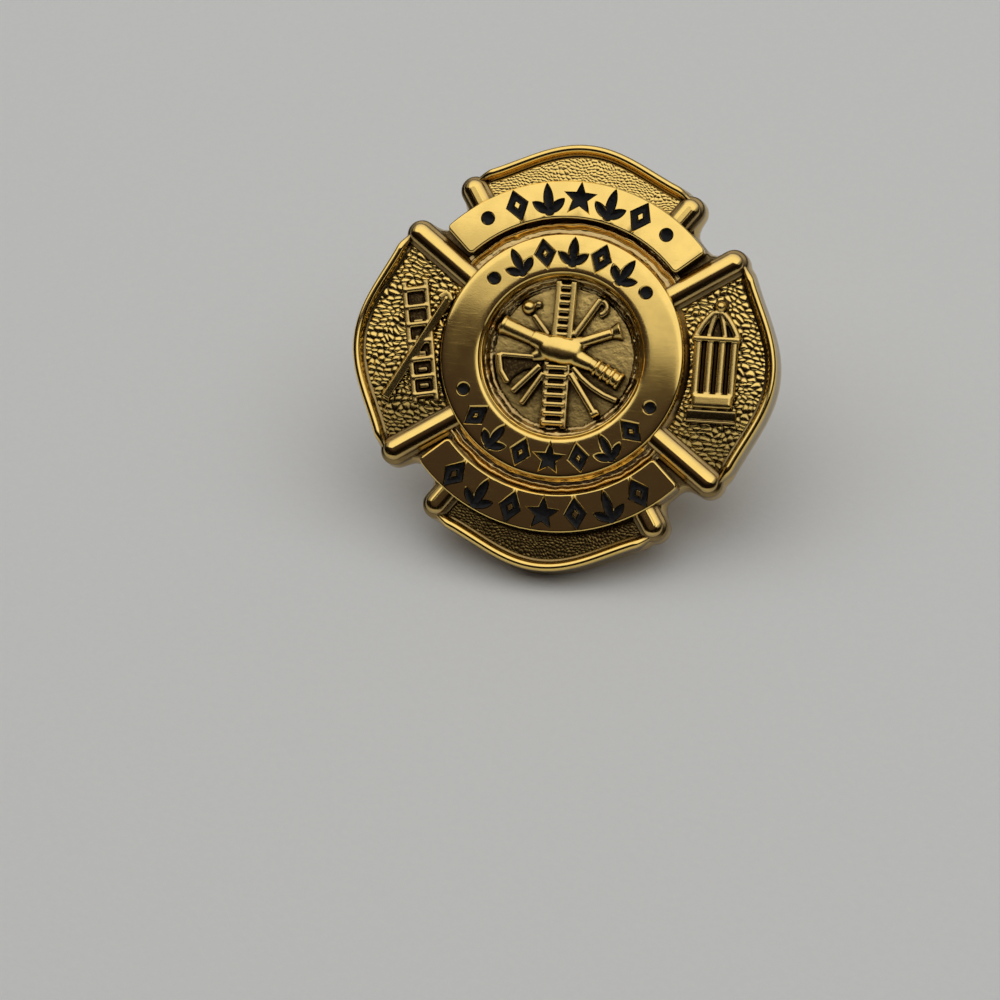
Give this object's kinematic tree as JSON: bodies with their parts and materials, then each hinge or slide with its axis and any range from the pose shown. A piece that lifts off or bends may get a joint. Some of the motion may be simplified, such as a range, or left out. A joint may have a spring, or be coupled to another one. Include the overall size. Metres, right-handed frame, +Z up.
{
  "type": "lapel pin",
  "caption": "Die-struck four-armed cross lapel pin with polished ring and banners, black enamel ornaments, raised tools, and a soldered post with push-on clutch.",
  "frame": {"origin": "on the surface that the pin lies on, below the middle of its bounding box", "axes": "+Z up; the face of the emblem looks towards -Y and upwards; +X is to the right as seen from the front"},
  "size_m": [0.0244, 0.0192, 0.0173],
  "materials": {
    "gold_plate": "gold-plated die-struck brass, polished on the ring, banners, bars and beads, with brown patina in the recesses",
    "clutch_metal": "plain gold-toned stamped metal with fine wear",
    "black_enamel": "black glossy enamel in sunk pockets"
  },
  "bodies": {
    "root": {"emblem": "gold_plate", "clutch": "clutch_metal", "enamel_top_1": "black_enamel", "enamel_top_2": "black_enamel", "enamel_top_3": "black_enamel", "enamel_top_4": "black_enamel", "enamel_top_5": "black_enamel", "enamel_top_6": "black_enamel", "enamel_top_7": "black_enamel", "enamel_ring_upper_1": "black_enamel", "enamel_ring_upper_2": "black_enamel", "enamel_ring_upper_3": "black_enamel", "enamel_ring_upper_4": "black_enamel", "enamel_ring_upper_5": "black_enamel", "enamel_ring_upper_6": "black_enamel", "enamel_ring_upper_7": "black_enamel", "enamel_ring_lower_1": "black_enamel", "enamel_ring_lower_2": "black_enamel", "enamel_ring_lower_3": "black_enamel", "enamel_ring_lower_4": "black_enamel", "enamel_ring_lower_5": "black_enamel", "enamel_ring_lower_6": "black_enamel", "enamel_ring_lower_7": "black_enamel", "enamel_ring_lower_8": "black_enamel", "enamel_ring_lower_9": "black_enamel", "enamel_bottom_1": "black_enamel", "enamel_bottom_2": "black_enamel", "enamel_bottom_3": "black_enamel", "enamel_bottom_4": "black_enamel", "enamel_bottom_5": "black_enamel", "enamel_bottom_6": "black_enamel", "enamel_bottom_7": "black_enamel"}
  },
  "joints": []
}
